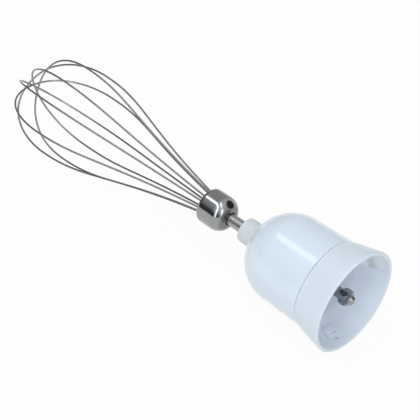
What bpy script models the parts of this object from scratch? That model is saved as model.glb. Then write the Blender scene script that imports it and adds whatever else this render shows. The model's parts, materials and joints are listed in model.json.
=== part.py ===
"""Whisk attachment of an immersion blender: planetary gearbox, output sleeve and five-loop whisk.

Every piece is modelled round the turning axis, which is local Z of the assembly empty. Local Z is 0 in
the plane of the mouth and falls towards the whisk. Local +X ends up pointing at the floor, because the
attachment lies on its mouth rim and on two wires of the whisk.
"""

import math

import bmesh
import bpy
from mathutils import Matrix, Vector

mm = 0.001
degree = math.pi / 180

# Clearances
fit_gap = 0.3 * mm        # between pieces that fit into or over each other
face_gap = 0.3 * mm       # between faces that seat on each other
run_gap = 0.4 * mm        # between a turning piece and a fixed one
small_edge = 0.4 * mm     # chamfer that breaks a sharp edge
overcut = 1.0 * mm        # how far a cutter passes the face that it cuts

# Facets of round pieces
large_segment_count = 40
middle_segment_count = 28
small_segment_count = 16
smooth_angle = 32 * degree     # edges sharper than this stay sharp
merge_distance = 1e-7

# Bell and collar
mouth_radius = 28.3 * mm
collar_length = 17.3 * mm
rim_wall = 1.95 * mm
rim_round = 0.6 * mm
spigot_wall = 1.5 * mm
spigot_chamfer = 0.8 * mm
throat_rise = 1.6 * mm      # the mouth's cone turns into the bore from here
throat_drop = 0.6 * mm      # to here
throat_step = 0.35 * mm
collar_floor = 1.6 * mm
floor_round = 0.8 * mm
bell_radius = 23.8 * mm
bell_flare = 0.45 * mm      # the bell is this much wider at its mouth
seam_step = 0.2 * mm        # the collar stands this far over the bell
bell_straight = 24.45 * mm
dome_height = 22.4 * mm     # the dome is a little flatter than a half ball
bell_wall = 1.65 * mm
shell_chamfer = 0.3 * mm
seam_gap = 0.35 * mm
snap_height = 0.35 * mm
snap_width = 1.6 * mm
snap_setback = 5.0 * mm

# Latch catches and keyways inside the mouth
catch_angle = -7.5 * degree
catch_width = 10.0 * mm
catch_length = 5.8 * mm
catch_height = 0.8 * mm
catch_corner = 2.2 * mm
catch_depth = 8.8 * mm
catch_slot_width = 3.4 * mm
catch_slot_length = 0.9 * mm
catch_slot_shift = 1.5 * mm
catch_slot_depth = 0.5 * mm
catch_dimple_radius = 0.9 * mm
catch_dimple_depth = 4.4 * mm
catch_dimple_cut = 0.8 * mm
catch_dimple_sides = 10
keyway_angle = 118 * degree
keyway_span = 46 * degree
keyway_cut = 0.85 * mm
keyway_start = 1.3 * mm
keyway_length = 8.4 * mm
keyway_block = 4.0 * mm     # how far its cutter stands out of the wall

# Round mark on the outside of the collar
mark_angle = 169 * degree
mark_setback = 4.2 * mm
mark_radius = 1.3 * mm
mark_height = 0.3 * mm
mark_edge = 0.25 * mm

# Gears
sun_teeth = 10
planet_teeth = 20
planet_count = 3
pressure_angle = 25 * degree
tooth_addendum = 1.0
tooth_dedendum = 1.2
tooth_play = 0.1 * mm     # taken off each gear's tooth, along its pitch circle
gear_width = 8.0 * mm
ring_wall = 2.0 * mm
ring_room = 3.12 * mm       # between the ring gear and the bell's wall
ring_seat_wall = 1.3 * mm
seat_foot = 3.5 * mm        # solid foot of the ring gear's seat
seat_ledge = 1.6 * mm
seat_ledge_gap = 1.1 * mm   # from the pitch circle to the ledge
seat_setback = 0.4 * mm     # the seat ends this far below the gears' front
channel_rise = 1.2 * mm
channel_step = 0.5 * mm
pin_radius = 1.5 * mm
planet_bore_play = 0.2 * mm
journal_radius = 1.5 * mm
journal_chamfer = 0.3 * mm
pilot_depth = 1.5 * mm     # the spindle's journal reaches this far into the carrier

# Gear cover, its screws and the drive bearing
cover_thickness = 2.0 * mm
cover_boss_wall = 1.6 * mm
cover_boss_length = 12.2 * mm
cover_boss_show = 3.1 * mm
cover_rib_thickness = 1.2 * mm
cover_rib_height = 2.0 * mm
cover_rib_setback = 1.0 * mm
screw_radius = 1.0 * mm
screw_head_radius = 1.9 * mm
screw_head_height = 1.3 * mm
screw_length = 7.0 * mm
screw_slot = 0.5 * mm
screw_slot_length = 2.4 * mm
screw_slot_depth = 0.6 * mm
screw_point = 0.8 * mm
screw_boss_radius = 1.9 * mm
screw_boss_root = 1.5 * mm
screw_boss_gap = 0.25 * mm  # between the screw bosses and the bell's wall
bush_wall = 1.8 * mm
bush_length = 9.0 * mm
bush_chamfer = 0.3 * mm
clip_opening = 35 * degree    # half of the retaining ring's gap
clip_thickness = 0.7 * mm
clip_reach = 1.4 * mm
clip_bite = 0.3 * mm      # the retaining ring's groove is this much deeper than its clearance
seal_length = 2.4 * mm
seal_lip = 0.6 * mm
seal_band = 0.6 * mm
seal_web = 1.0 * mm
seal_clearance = 0.2 * mm
seal_lip_drop = 0.2 * mm
seal_lip_edge = 0.3 * mm

# Drive spindle
spindle_radius = 2.7 * mm
spindle_start = 3.8 * mm
spindle_chamfer = 0.35 * mm
spindle_setback = 0.5 * mm
ball_radius = 2.2 * mm
neck_radius = 1.7 * mm
ear_angle = 133 * degree
ear_reach = 3.7 * mm
ear_length = 5.7 * mm
ear_thickness = 2.4 * mm
ear_corner = 2.2 * mm
ear_setback = 6.7 * mm    # middle of the ears behind the tip
dent_radius = 2.4 * mm
dent_offset = 2.9 * mm
dent_height = 2.45 * mm
dent_width = 0.9 * mm
shoulder_radius = 3.9 * mm
shoulder_length = 1.0 * mm

# Output carrier, its bearing and the socket
sleeve_radius = 6.9 * mm
sleeve_draft = 0.1 * mm
sleeve_round = 1.0 * mm
nose_reach = 9.65 * mm
carrier_thickness = 3.0 * mm
carrier_margin = 3.4 * mm
carrier_window_radius = 2.4 * mm
pin_seat_wall = 0.6 * mm
neck_bush_wall = 1.1 * mm
neck_bush_play = 0.25 * mm
neck_bush_length = 9.6 * mm
neck_bush_flange = 2.0 * mm
neck_bush_plate = 1.0 * mm
neck_wall = 1.7 * mm
neck_lip = 1.2 * mm
washer_thickness = 0.5 * mm
socket_end_wall = 1.4 * mm
socket_spring_wire = 0.45 * mm
socket_spring_setback = 4.2 * mm
socket_spring_opening = 25 * degree
socket_spring_steps = 20

# Whisk shaft and ferrule
shaft_radius = 3.3 * mm
shaft_show = 10.3 * mm
shaft_flat = 0.5 * mm
shaft_flat_length = 13.0 * mm
shaft_setback = 1.6 * mm      # end of the shaft inside the holder
socket_key_width = 2.6 * mm
socket_key_height = 1.4 * mm
socket_key_setback = 0.75 * mm
shaft_chamfer = 0.5 * mm
ferrule_radius = 9.8 * mm
ferrule_length = 17.2 * mm
ferrule_wall = 0.9 * mm
ferrule_shoulder = 7.2 * mm
ferrule_edge = 2.6 * mm
ferrule_turn_in = 50 * degree
ferrule_dish_radius = 4.5 * mm
ferrule_dish_depth = 0.5 * mm
holder_setback = 1.2 * mm

# Wire loops
wire_radius = 0.55 * mm
wire_circle = 6.0 * mm
wire_grip = 7.6 * mm
wire_splay = 10.5 * degree
balloon_radius = 28.1 * mm
balloon_length = 147.0 * mm
balloon_widest = 106.5 * mm
wire_drop = 1.4 * mm      # the wires start to spread this far past the ferrule
crown_steps = (5.5 * mm, 1.4 * mm, 2.8 * mm, 0.0, 8.0 * mm)  # crown below the outermost, by loop
lower_pull = 64.0 * mm
waist_pull = 33.0 * mm
upper_pull = 18.0 * mm
crown_pull = 20.0 * mm
lowest_loop_angle = 19 * degree  # the first and the last loop stand this far from straight down
inner_loop_angles = (49.5 * degree, 88 * degree, 124.5 * degree)
loop_step_count = 9
wire_bevel_count = 2                  # bevel resolution that gives eight sides

# Radii that follow from the bell
bell_inner = bell_radius - bell_wall
bell_mouth_radius = bell_radius + bell_flare
seam_radius = bell_mouth_radius + seam_step
spigot_radius = bell_mouth_radius - bell_wall - fit_gap
screw_circle = bell_inner - screw_boss_gap - screw_boss_radius

# Stations along the axis
seam_station = -collar_length
dome_station = seam_station - bell_straight
neck_hole_radius = sleeve_radius + run_gap
neck_station = dome_station - dome_height * math.sqrt(1 - (neck_hole_radius / bell_radius)**2)
nose_station = neck_station - nose_reach
ferrule_station = nose_station - shaft_show
wire_station = ferrule_station - ferrule_length

loop_angles = (lowest_loop_angle, *inner_loop_angles, math.pi - lowest_loop_angle)
loop_count = len(loop_angles)

# The gears fill the room inside the bell
ring_teeth = sun_teeth + 2 * planet_teeth
gear_module = (bell_inner - ring_room - ring_wall) / (ring_teeth / 2 + tooth_dedendum)
planet_pitch = gear_module * planet_teeth / 2
sun_pitch = gear_module * sun_teeth / 2
ring_pitch = gear_module * ring_teeth / 2
centre_distance = sun_pitch + planet_pitch
ring_outer = ring_pitch + tooth_dedendum * gear_module + ring_wall
ring_seat = ring_outer + fit_gap

bush_top = neck_station + neck_lip + face_gap
washer_station = neck_station + neck_lip + neck_bush_length
carrier_back = washer_station + washer_thickness + face_gap
carrier_front = carrier_back + carrier_thickness
gear_back = carrier_front + 2 * face_gap
gear_front = gear_back + gear_width
cover_back = gear_front + 2 * face_gap
cover_front = cover_back + cover_thickness
boss_front = cover_back + cover_boss_length
floor_station = boss_front - cover_boss_show
bush_back = cover_back + shoulder_length + face_gap
bush_front = bush_back + bush_length
clip_back = bush_front + face_gap
seal_back = clip_back + clip_thickness + face_gap
bush_outer = spindle_radius + fit_gap + bush_wall
boss_bore = bush_outer + fit_gap


def arc(centre_r, centre_z, radius, start, end, steps, height=None):
    """Points of an arc in the profile plane, from one angle to another. A height makes it an ellipse."""
    tall = radius if height is None else height
    turns = [start + (end - start) * i / steps for i in range(steps + 1)]
    return [(centre_r + radius * math.cos(a), centre_z + tall * math.sin(a)) for a in turns]


def material(name, colour, roughness, metallic=0.0):
    made = bpy.data.materials.new(name)
    made.use_nodes = True
    shader = made.node_tree.nodes["Principled BSDF"]
    shader.inputs["Base Color"].default_value = (*colour, 1)
    shader.inputs["Roughness"].default_value = roughness
    shader.inputs["Metallic"].default_value = metallic
    made.diffuse_color = (*colour, 1)
    return made


def place(name, bm, finish, parent):
    """Turns a bmesh into an object under its parent, with sound normals and smooth round faces."""
    bmesh.ops.remove_doubles(bm, verts=bm.verts, dist=merge_distance)
    bmesh.ops.recalc_face_normals(bm, faces=bm.faces)
    mesh = bpy.data.meshes.new(name)
    bm.to_mesh(mesh)
    bm.free()
    mesh.shade_smooth()
    mesh.set_sharp_from_angle(angle=smooth_angle)
    mesh.materials.append(finish)
    made = bpy.data.objects.new(name, mesh)
    made.parent = parent
    bpy.context.scene.collection.objects.link(made)
    return made


def turned_mesh(profile, segments, closed=True):
    """A profile of (radius, height) points spun round Z. An open one starts and ends on the axis."""
    bm = bmesh.new()
    points = [bm.verts.new((r, 0, z)) for r, z in profile]
    pairs = list(zip(points, points[1:]))
    if closed:
        pairs.append((points[-1], points[0]))
    edges = [bm.edges.new(pair) for pair in pairs]
    bmesh.ops.spin(
        bm,
        geom=points + edges,
        cent=(0, 0, 0),
        axis=(0, 0, 1),
        angle=2 * math.pi,
        steps=segments,
        use_merge=True,
    )
    return bm


def turned(name, profile, segments, finish, parent, closed=True):
    return place(name, turned_mesh(profile, segments, closed), finish, parent)


def prism_mesh(outline, bottom, top):
    """An outline of (x, y) points raised from one height to another."""
    bm = bmesh.new()
    face = bm.faces.new([bm.verts.new((x, y, bottom)) for x, y in outline])
    raised = bmesh.ops.extrude_face_region(bm, geom=[face])
    risen = [item for item in raised["geom"] if isinstance(item, bmesh.types.BMVert)]
    bmesh.ops.translate(bm, verts=risen, vec=(0, 0, top - bottom))
    return bm


def circle(radius, segments, centre=(0, 0)):
    """Points round a centre, the first one half a step round, clear of the axes."""
    turns = [2 * math.pi * (i + 0.5) / segments for i in range(segments)]
    return [(centre[0] + radius * math.cos(a), centre[1] + radius * math.sin(a)) for a in turns]


def combine(target, tools, operation):
    """Cuts the tools from the target, or joins them to it. The tools stay in the file as guides."""
    for tool in tools:
        tool.hide_render = True
        tool.display_type = "WIRE"
        step = target.modifiers.new(tool.name, "BOOLEAN")
        step.operation = operation
        step.solver = "EXACT"
        step.object = tool


def polar(radius, angle):
    return radius * math.cos(angle), radius * math.sin(angle)


def involute_flank(teeth, thickness_angle, inner, outer, steps):
    """Points (radius, half angle of the tooth) up one flank of a gear tooth."""
    pitch = gear_module * teeth / 2
    base = pitch * math.cos(pressure_angle)
    at_pitch = math.tan(pressure_angle) - pressure_angle
    start = max(inner, base)
    points = []
    for i in range(steps + 1):
        radius = start + (outer - start) * i / steps
        roll = math.acos(base / radius)
        points.append((radius, thickness_angle / 2 + at_pitch - (math.tan(roll) - roll)))
    if inner < base:
        points.insert(0, (inner, points[0][1]))
    return points


def gear_outline(teeth, inner, outer, extra, first_tooth, steps):
    """Closed outline of a spur gear. extra widens each tooth along the pitch circle."""
    pitch = gear_module * teeth / 2
    thickness_angle = math.pi / teeth + extra / pitch
    flank = involute_flank(teeth, thickness_angle, inner, outer, steps)
    outline = []
    for tooth in range(teeth):
        middle = first_tooth + 2 * math.pi * tooth / teeth
        outline += [polar(radius, middle - half) for radius, half in flank]
        outline += [polar(radius, middle + half) for radius, half in reversed(flank)]
    return outline


def external_gear(name, teeth, first_tooth, bore, finish, parent):
    pitch = gear_module * teeth / 2
    outline = gear_outline(
        teeth,
        pitch - tooth_dedendum * gear_module,
        pitch + tooth_addendum * gear_module,
        -tooth_play,
        first_tooth,
        2,
    )
    made = place(name, prism_mesh(outline, gear_back, gear_front), finish, parent)
    cutter = prism_mesh(circle(bore, small_segment_count), gear_back - overcut, gear_front + overcut)
    combine(made, [place(name + "_bore", cutter, finish, parent)], "DIFFERENCE")
    return made


def at_angle(angle, radius=0.0, height=0.0):
    """Frame that stands at an angle round the axis, its X pointing outwards."""
    return Matrix.Rotation(angle, 4, "Z") @ Matrix.Translation((radius, 0, height))


def box_mesh(size, frame):
    bm = bmesh.new()
    bmesh.ops.create_cube(bm, size=1, matrix=frame @ Matrix.Diagonal((*size, 1)))
    return bm


def mouth_wall_radius(station):
    """Inner radius of the collar's cone at a station between the mouth and the seam."""
    top = mouth_radius - rim_wall
    bottom = spigot_radius - spigot_wall
    return top + (bottom - top) * station / seam_station


def empty(name, parent, location=(0, 0, 0)):
    made = bpy.data.objects.new(name, None)
    made.parent = parent
    made.location = location
    made.empty_display_size = 10 * mm
    bpy.context.scene.collection.objects.link(made)
    return made


def coupling_collar(finish, parent):
    cone = math.atan((mouth_radius - seam_radius) / collar_length)
    inner_top = mouth_radius - rim_wall
    bore = spigot_radius - spigot_wall
    floor_back = floor_station - collar_floor
    snap = seam_station - snap_setback
    profile = arc(mouth_radius - rim_round, -rim_round, rim_round, -cone, math.pi / 2, 3)
    profile += arc(inner_top + rim_round, -rim_round, rim_round, math.pi / 2, math.pi, 3)
    profile += [
        (bore + throat_step, seam_station + throat_rise),
        (bore, seam_station - throat_drop),
        (bore - small_edge, floor_station + floor_round),
        (bore - small_edge - floor_round, floor_station),
        (boss_bore + cover_boss_wall + fit_gap, floor_station),
        (boss_bore + cover_boss_wall + fit_gap, floor_back),
        (spigot_radius - spigot_chamfer, floor_back),
        (spigot_radius, floor_back + spigot_chamfer),
        (spigot_radius, snap - snap_width / 2),
        (spigot_radius + snap_height - fit_gap / 2, snap),
        (spigot_radius, snap + snap_width / 2),
        (spigot_radius, seam_station),
        (seam_radius, seam_station),
    ]
    collar = turned("coupling_collar", profile, large_segment_count, finish, parent)

    pads = []
    cuts = []
    for half in range(2):
        side = catch_angle + half * math.pi
        frame = on_mouth_wall(side, catch_depth)
        pads.append(place(f"catch_pad_{half + 1}", catch_pad(frame), finish, parent))
        slot_frame = on_mouth_wall(side, catch_depth - catch_slot_shift)
        slot_frame = slot_frame @ Matrix.Translation((-catch_height, 0, 0))
        slot = box_mesh((2 * catch_slot_depth, catch_slot_width, catch_slot_length), slot_frame)
        cuts.append(place(f"catch_slot_{half + 1}", slot, finish, parent))
        dimple_frame = on_mouth_wall(side, catch_dimple_depth) @ Matrix.Rotation(math.pi / 2, 4, "Y")
        dimple_outline = circle(catch_dimple_radius, catch_dimple_sides)
        dimple = prism_mesh(dimple_outline, -catch_dimple_cut, catch_dimple_cut)
        bmesh.ops.transform(dimple, matrix=dimple_frame, verts=dimple.verts)
        cuts.append(place(f"catch_dimple_{half + 1}", dimple, finish, parent))
        cuts.append(keyway_cutter(half, finish, parent))
    combine(collar, [*pads, round_mark(cone, finish, parent)], "UNION")
    combine(collar, cuts, "DIFFERENCE")
    return collar


def round_mark(cone, finish, parent):
    """Small round boss that stands square on the collar's outer cone."""
    radius = mouth_radius - mark_setback * math.tan(cone)
    profile = [
        (0, -mark_radius / 2),
        (mark_radius, -mark_radius / 2),
        (mark_radius, mark_height - mark_edge),
        (mark_radius - mark_edge, mark_height),
        (0, mark_height),
    ]
    mark = turned_mesh(profile, small_segment_count, closed=False)
    tilt = Matrix.Rotation(cone + math.pi / 2, 4, "Y")
    bmesh.ops.transform(mark, matrix=at_angle(mark_angle, radius, -mark_setback) @ tilt, verts=mark.verts)
    return place("collar_mark", mark, finish, parent)


def on_mouth_wall(angle, depth):
    """Frame on the inner wall of the mouth: X stands out of the wall, Z runs up along it."""
    slope = math.atan((mouth_wall_radius(0) - mouth_wall_radius(seam_station)) / collar_length)
    return at_angle(angle, mouth_wall_radius(-depth), -depth) @ Matrix.Rotation(slope, 4, "Y")


def catch_pad(frame):
    """Raised pad of the latch, with its two deep corners rounded."""
    pad = box_mesh((2 * catch_height, catch_width, catch_length), Matrix())
    deep = [e for e in pad.edges if all(v.co.z < 0 for v in e.verts)]
    corners = [e for e in deep if abs(e.verts[0].co.x - e.verts[1].co.x) > catch_height]
    bmesh.ops.bevel(
        pad, geom=corners, offset=catch_corner, segments=3, profile=0.5, affect="EDGES", material=-1
    )
    bmesh.ops.transform(pad, matrix=frame, verts=pad.verts)
    return pad


def keyway_cutter(half, finish, parent):
    """Curved block that sinks a keyway into the cone of the mouth, with a square ledge at its foot."""
    top = -keyway_start
    bottom = top - keyway_length
    middle = keyway_angle + half * math.pi
    steps = 6
    bm = bmesh.new()
    rows = []
    for i in range(steps + 1):
        angle = middle + keyway_span * (i / steps - 0.5)
        corners = [
            (mouth_wall_radius(top) + keyway_cut, top),
            (mouth_wall_radius(bottom) + keyway_cut, bottom),
            (mouth_wall_radius(bottom) - keyway_block, bottom),
            (mouth_wall_radius(top) - keyway_block, top),
        ]
        rows.append([bm.verts.new((*polar(r, angle), z)) for r, z in corners])
    for first, second in zip(rows, rows[1:]):
        for a in range(4):
            b = (a + 1) % 4
            bm.faces.new((first[a], first[b], second[b], second[a]))
    bm.faces.new(rows[0])
    bm.faces.new(rows[-1])
    return place(f"keyway_{half + 1}_cutter", bm, finish, parent)


def gear_housing(finish, parent):
    """The bell: straight side, round dome, neck for the output bearing and a seat for the ring gear."""
    shell_end = seam_station - seam_gap
    mouth_inner = bell_mouth_radius - bell_wall
    bush_seat = sleeve_radius + run_gap + neck_bush_wall + fit_gap
    neck_outer = bush_seat + neck_wall
    neck_inner_end = washer_station - neck_bush_plate - 2 * face_gap
    hole_turn = -math.acos(neck_hole_radius / bell_radius)
    seat_end = gear_front - seat_setback
    ledge = gear_back - face_gap
    channel = ledge + seat_foot
    snap = seam_station - snap_setback
    dome_inner = bell_radius - bell_wall
    outer_dome = arc(0, dome_station, bell_radius, 0, hole_turn, 9, dome_height)
    inner_height = dome_height - bell_wall
    neck_turn = -math.acos(neck_outer / dome_inner)
    seat_top = ledge - seat_ledge
    ledge_radius = ring_pitch + seat_ledge_gap
    seat_turn = -math.asin((dome_station - seat_top) / inner_height)
    profile = [(mouth_inner + shell_chamfer, shell_end), (bell_mouth_radius, shell_end)]
    profile += outer_dome
    profile += [
        (neck_hole_radius, bush_top - face_gap),
        (bush_seat, bush_top - face_gap),
        (bush_seat, neck_inner_end),
        (neck_outer, neck_inner_end),
    ]
    profile += arc(0, dome_station, dome_inner, neck_turn, seat_turn, 4, inner_height)
    profile += [
        (ledge_radius, seat_top),
        (ledge_radius, ledge),
        (ring_seat, ledge),
        (ring_seat, seat_end),
        (ring_seat + ring_seat_wall, seat_end),
        (ring_seat + ring_seat_wall, channel),
        (bell_inner - channel_step, channel),
        (bell_inner, channel + channel_rise),
        (mouth_inner, snap - snap_width),
        (mouth_inner + snap_height, snap),
        (mouth_inner, snap + snap_width),
    ]
    housing = turned("gear_housing", profile, large_segment_count, finish, parent)
    bosses = []
    holes = []
    for i in range(planet_count):
        where = polar(screw_circle, screw_angle(i))
        outline = circle(screw_boss_radius, small_segment_count, where)
        post = prism_mesh(outline, channel - screw_boss_root, seat_end)
        bosses.append(place(f"screw_boss_{i + 1}", post, finish, parent))
        hole = prism_mesh(
            circle(screw_radius + fit_gap / 2, small_segment_count // 2, where),
            cover_front - screw_length - overcut,
            seat_end + overcut,
        )
        holes.append(place(f"screw_hole_{i + 1}", hole, finish, parent))
    combine(housing, bosses, "UNION")
    combine(housing, holes, "DIFFERENCE")
    return housing


def screw_angle(i):
    return math.pi / planet_count + 2 * math.pi * i / planet_count


def ring_gear(finish, parent):
    body = prism_mesh(circle(ring_outer, large_segment_count), gear_back, gear_front)
    ring = place("ring_gear", body, finish, parent)
    teeth = gear_outline(
        ring_teeth,
        ring_pitch - tooth_addendum * gear_module,
        ring_pitch + tooth_dedendum * gear_module,
        tooth_play,
        math.pi / ring_teeth,
        1,
    )
    teeth_mesh = prism_mesh(teeth, gear_back - overcut, gear_front + overcut)
    cuts = [place("ring_teeth_cutter", teeth_mesh, finish, parent)]
    for i in range(planet_count):
        notch = circle(screw_boss_radius + fit_gap, small_segment_count, polar(screw_circle, screw_angle(i)))
        bm = prism_mesh(notch, gear_back - overcut, gear_front + overcut)
        cuts.append(place(f"ring_notch_{i + 1}", bm, finish, parent))
    combine(ring, cuts, "DIFFERENCE")
    return ring


def gear_cover(finish, parent):
    """Partition under the gears, with the boss that holds the drive bearing and three ribs."""
    boss_outer = boss_bore + cover_boss_wall
    bore_small = shoulder_radius + run_gap
    profile = [
        (bore_small, cover_back),
        (bell_inner - fit_gap - small_edge, cover_back),
        (bell_inner - fit_gap, cover_back + small_edge),
        (bell_inner - fit_gap, cover_front),
        (boss_outer, cover_front),
        (boss_outer, boss_front - small_edge),
        (boss_outer - small_edge, boss_front),
        (boss_bore, boss_front),
        (boss_bore, bush_back - face_gap),
        (bore_small, bush_back - face_gap),
    ]
    cover = turned("gear_cover", profile, middle_segment_count, finish, parent)
    holes = []
    ribs = []
    for i in range(planet_count):
        where = polar(screw_circle, screw_angle(i))
        hole = circle(screw_radius + fit_gap, small_segment_count // 2, where)
        bm = prism_mesh(hole, cover_back - overcut, cover_front + overcut)
        holes.append(place(f"cover_hole_{i + 1}", bm, finish, parent))
        inner = boss_outer - cover_boss_wall / 2
        reach = screw_circle - screw_head_radius - cover_rib_setback - inner
        frame = at_angle(screw_angle(i), inner + reach / 2, cover_front)
        rib = box_mesh((reach, cover_rib_thickness, 2 * cover_rib_height), frame)
        bmesh.ops.bisect_plane(
            rib,
            geom=[*rib.verts, *rib.edges, *rib.faces],
            plane_co=(0, 0, cover_front - cover_thickness / 2),
            plane_no=(0, 0, -1),
            clear_outer=True,
        )
        bmesh.ops.holes_fill(rib, edges=rib.edges)
        ribs.append(place(f"cover_rib_{i + 1}", rib, finish, parent))
    combine(cover, ribs, "UNION")
    combine(cover, holes, "DIFFERENCE")
    return cover


def cover_screw(i, finish, parent):
    head_back = cover_front + face_gap
    head_front = head_back + screw_head_height
    tip = cover_front - screw_length
    profile = [
        (0, head_front),
        (screw_head_radius - small_edge, head_front),
        (screw_head_radius, head_front - small_edge),
        (screw_head_radius, head_back),
        (screw_radius, head_back),
        (screw_radius, tip + screw_point),
        (screw_radius - small_edge, tip),
        (0, tip),
    ]
    bm = turned_mesh(profile, small_segment_count // 2, closed=False)
    where = Vector((*polar(screw_circle, screw_angle(i)), 0))
    bmesh.ops.translate(bm, verts=bm.verts, vec=where)
    screw = place(f"cover_screw_{i + 1}", bm, finish, parent)
    top = Matrix.Translation(where + Vector((0, 0, head_front)))
    cuts = []
    for turn in range(2):
        frame = top @ Matrix.Rotation(turn * math.pi / 2, 4, "Z")
        bar = box_mesh((screw_slot_length, screw_slot, 2 * screw_slot_depth), frame)
        cuts.append(place(f"cover_screw_{i + 1}_slot_{turn + 1}", bar, finish, parent))
    combine(screw, cuts, "DIFFERENCE")
    return screw


def spindle_bush(finish, parent):
    bore = spindle_radius + fit_gap
    profile = [
        (bore, bush_back + bush_chamfer),
        (bore + bush_chamfer, bush_back),
        (bush_outer, bush_back),
        (bush_outer, bush_front),
        (bore + bush_chamfer, bush_front),
        (bore, bush_front - bush_chamfer),
    ]
    return turned("spindle_bush", profile, small_segment_count, finish, parent)


def spindle_seal(finish, parent):
    """Lip seal: an outer band pressed into the boss and a thin lip that leans on the spindle."""
    inner = spindle_radius + seal_clearance
    outer = boss_bore - fit_gap
    front = seal_back + seal_length
    groove = (inner + seal_lip + outer - seal_band) / 2
    profile = [
        (inner, front - seal_lip_drop),
        (inner + seal_lip_edge, front + seal_lip_drop),
        (groove - seal_clearance / 2, seal_back + seal_web),
        (groove + seal_clearance / 2, seal_back + seal_web),
        (outer - seal_band, front - seal_lip_edge),
        (outer, front - seal_lip_edge),
        (outer, seal_back),
        (inner + seal_lip, seal_back),
    ]
    return turned("spindle_seal", profile[::-1], small_segment_count, finish, parent)


def spindle_clip(finish, parent):
    inner = spindle_radius - clip_bite
    outer = spindle_radius + clip_reach
    steps = small_segment_count
    turns = [clip_opening + 2 * (math.pi - clip_opening) * i / steps for i in range(steps + 1)]
    outline = [polar(outer, a) for a in turns] + [polar(inner, a) for a in reversed(turns)]
    return place("spindle_clip", prism_mesh(outline, clip_back, clip_back + clip_thickness), finish, parent)


def drive_spindle(finish, parent):
    tip = -spindle_setback
    ball = tip - ball_radius
    neck_turn = -math.acos(neck_radius / ball_radius)
    front = tip - spindle_start
    groove = spindle_radius - fit_gap - clip_bite
    profile = arc(0, ball, ball_radius, math.pi / 2, neck_turn, 6)
    profile[0] = (0, tip)
    profile += [
        (neck_radius, front),
        (spindle_radius - spindle_chamfer, front),
        (spindle_radius, front - spindle_chamfer),
        (spindle_radius, clip_back + clip_thickness + face_gap / 2),
        (groove, clip_back + clip_thickness + face_gap / 2),
        (groove, clip_back - face_gap / 2),
        (spindle_radius, clip_back - face_gap / 2),
        (spindle_radius, bush_back - face_gap),
        (shoulder_radius, bush_back - face_gap),
        (shoulder_radius, cover_back),
        (journal_radius, cover_back),
        (journal_radius, carrier_front - pilot_depth + journal_chamfer),
        (journal_radius - journal_chamfer, carrier_front - pilot_depth),
        (0, carrier_front - pilot_depth),
    ]
    spindle = turned("drive_spindle", profile, small_segment_count, finish, parent, closed=False)

    middle = tip - ear_setback
    ears = box_mesh((2 * ear_reach, ear_thickness, ear_length), Matrix())
    corners = [e for e in ears.edges if abs(e.verts[0].co.y - e.verts[1].co.y) > ear_thickness / 2]
    bmesh.ops.bevel(
        ears, geom=corners, offset=ear_corner, segments=3, profile=0.5, affect="EDGES", material=-1
    )
    bmesh.ops.transform(ears, matrix=at_angle(ear_angle, 0, middle), verts=ears.verts)
    combine(spindle, [place("spindle_ears", ears, finish, parent)], "UNION")

    dents = []
    for quarter in range(4):
        half, side = quarter // 2, 1 - quarter % 2 * 2
        flank = at_angle(ear_angle + (half + 0.5) * math.pi, dent_height, middle)
        across = Matrix.Translation((0, side * dent_offset, 0)) @ Matrix.Rotation(math.pi / 2, 4, "Y")
        ring = turned_mesh(circle(dent_width / 2, 6, (dent_radius, 0)), small_segment_count)
        bmesh.ops.transform(ring, matrix=flank @ across, verts=ring.verts)
        dents.append(place(f"spindle_dent_{quarter + 1}", ring, finish, parent))
    combine(spindle, dents, "DIFFERENCE")
    return spindle


def planet_carrier(finish, parent):
    """Disc behind the planets, in one piece with the sleeve that holds the whisk's shaft."""
    disc_radius = centre_distance + carrier_margin
    socket = shaft_radius + fit_gap
    socket_end = carrier_back - socket_end_wall
    spring = nose_station + socket_spring_setback
    groove = socket_spring_wire + fit_gap
    groove_radius = socket + 2 * socket_spring_wire + fit_gap
    pilot = journal_radius + fit_gap
    pilot_end = carrier_front - pilot_depth - face_gap
    step = carrier_back - face_gap
    profile = [
        (0, pilot_end),
        (pilot, pilot_end),
        (pilot, carrier_front),
        (disc_radius - small_edge, carrier_front),
        (disc_radius, carrier_front - small_edge),
        (disc_radius, carrier_back + small_edge),
        (disc_radius - small_edge, carrier_back),
        (sleeve_radius, step),
        (sleeve_radius, neck_station),
    ]
    tip = sleeve_radius - sleeve_draft
    profile += arc(tip - sleeve_round, nose_station + sleeve_round, sleeve_round, 0, -math.pi / 2, 3)
    profile += [
        (socket + small_edge, nose_station),
        (socket, nose_station + small_edge),
        (socket, spring - groove),
        (groove_radius, spring - groove),
        (groove_radius, spring + groove),
        (socket, spring + groove),
        (socket, socket_end),
        (0, socket_end),
    ]
    carrier = turned("planet_carrier", profile, middle_segment_count, finish, parent, closed=False)
    cuts = []
    for i in range(planet_count):
        where = polar(centre_distance, planet_angle(i))
        hole = circle(pin_radius + fit_gap / 2, small_segment_count, where)
        bm = prism_mesh(hole, carrier_back + pin_seat_wall, carrier_front + overcut)
        cuts.append(place(f"carrier_pin_hole_{i + 1}", bm, finish, parent))
        window = circle(carrier_window_radius, small_segment_count, polar(centre_distance, screw_angle(i)))
        bm = prism_mesh(window, carrier_back - overcut, carrier_front + overcut)
        cuts.append(place(f"carrier_window_{i + 1}", bm, finish, parent))
    combine(carrier, cuts, "DIFFERENCE")
    keys = []
    for half in range(2):
        key_middle = shaft_radius - shaft_flat + fit_gap + socket_key_height / 2
        key = box_mesh(
            (socket_key_height, socket_key_width, shaft_flat_length - 2 * socket_key_setback),
            at_angle(half * math.pi, key_middle, socket_end - shaft_flat_length / 2),
        )
        keys.append(place(f"socket_key_{half + 1}", key, finish, parent))
    combine(carrier, keys, "UNION")
    return carrier


def planet_angle(i):
    return 2 * math.pi * i / planet_count


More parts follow.
